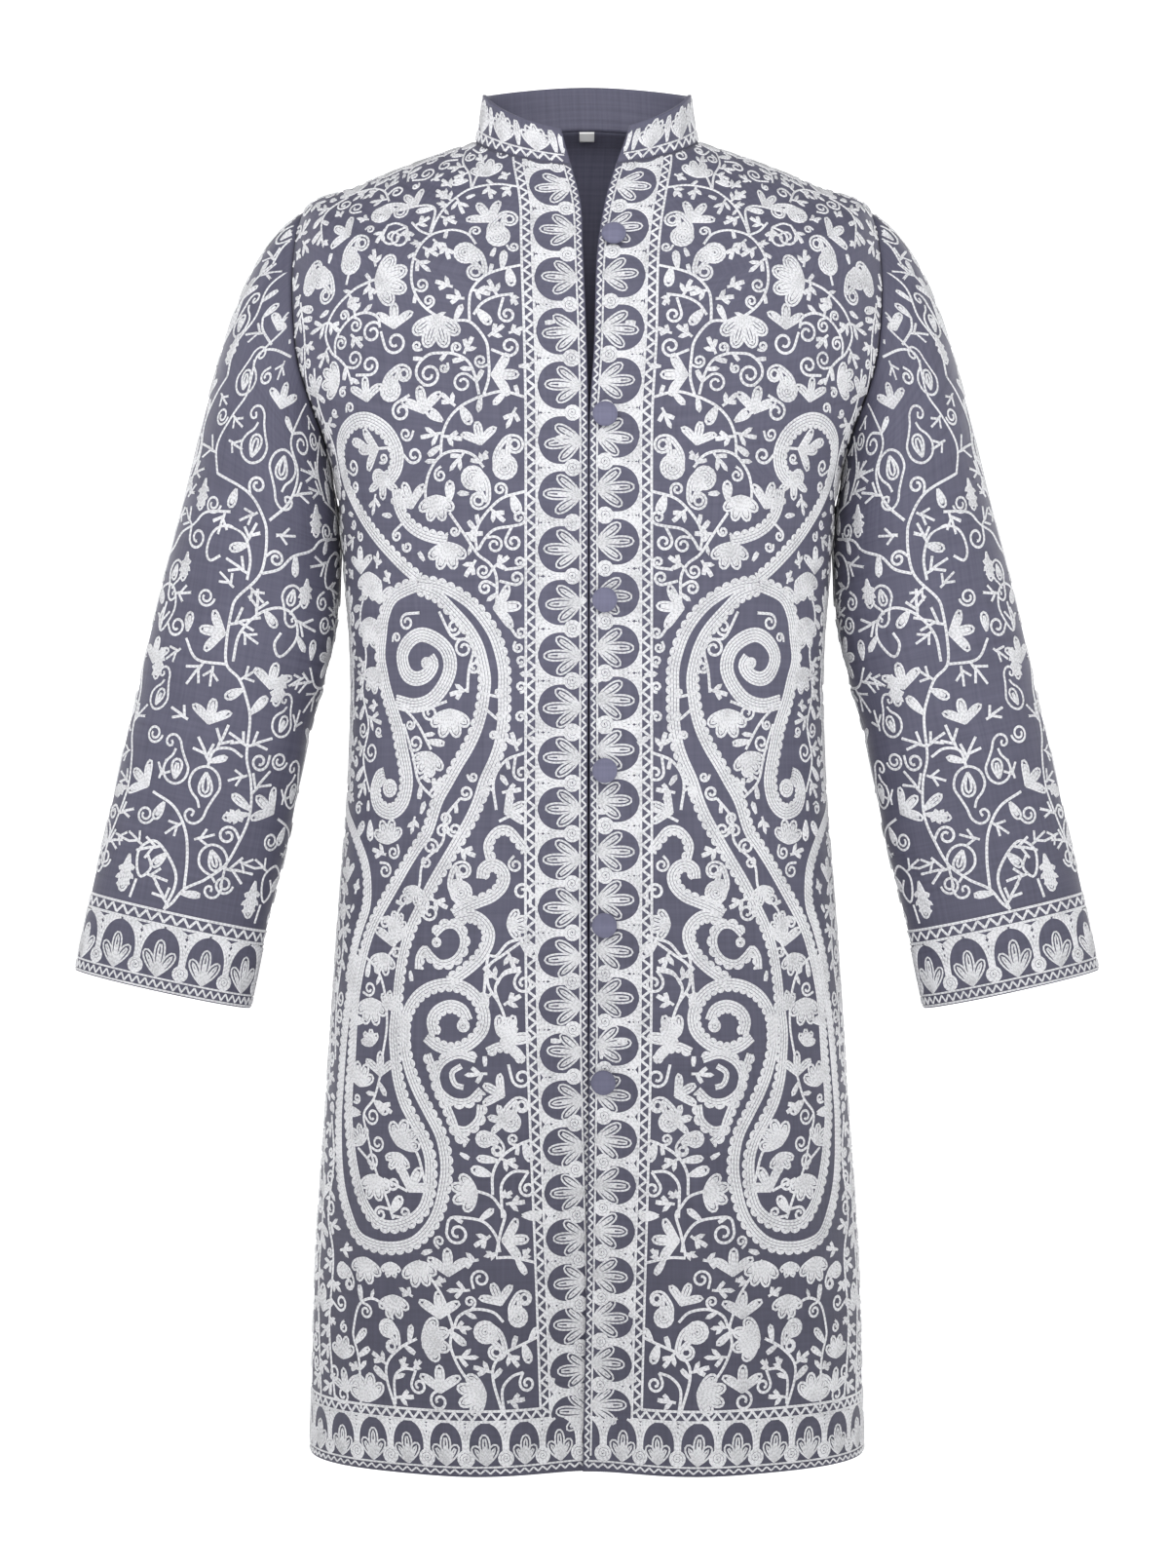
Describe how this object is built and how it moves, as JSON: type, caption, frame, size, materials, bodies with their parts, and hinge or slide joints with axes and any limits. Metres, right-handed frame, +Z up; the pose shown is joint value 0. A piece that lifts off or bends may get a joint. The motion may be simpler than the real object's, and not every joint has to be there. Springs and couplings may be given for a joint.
{
  "type": "embroidered silk jacket",
  "caption": "Knee-length stand-collar silk jacket with a buttoned front, long sleeves and dense chain-stitch vine, paisley and palmette embroidery, filled out as worn.",
  "frame": {"origin": "middle of the neck, at the height of the inner ends of the shoulder seams, where the wearer's neck and shoulders hold the jacket up", "axes": "+Z up, -Y to the front, +X to the wearer's left"},
  "size_m": [0.738, 0.2513, 0.9984],
  "materials": {
    "silk": "slate-grey slubbed silk with a soft sheen",
    "thread": "ivory silk thread in rows of chain stitch",
    "button_silk": "plain slate silk stretched over a dome",
    "label": "plain white woven tape"
  },
  "bodies": {
    "root": {"front_left": "silk", "front_right": "silk", "back": "silk", "sleeve_left": "silk", "sleeve_right": "silk", "collar": "silk", "label": "label", "button_1": "button_silk", "button_2": "button_silk", "button_3": "button_silk", "button_4": "button_silk", "button_5": "button_silk", "button_6": "button_silk"}
  },
  "joints": []
}
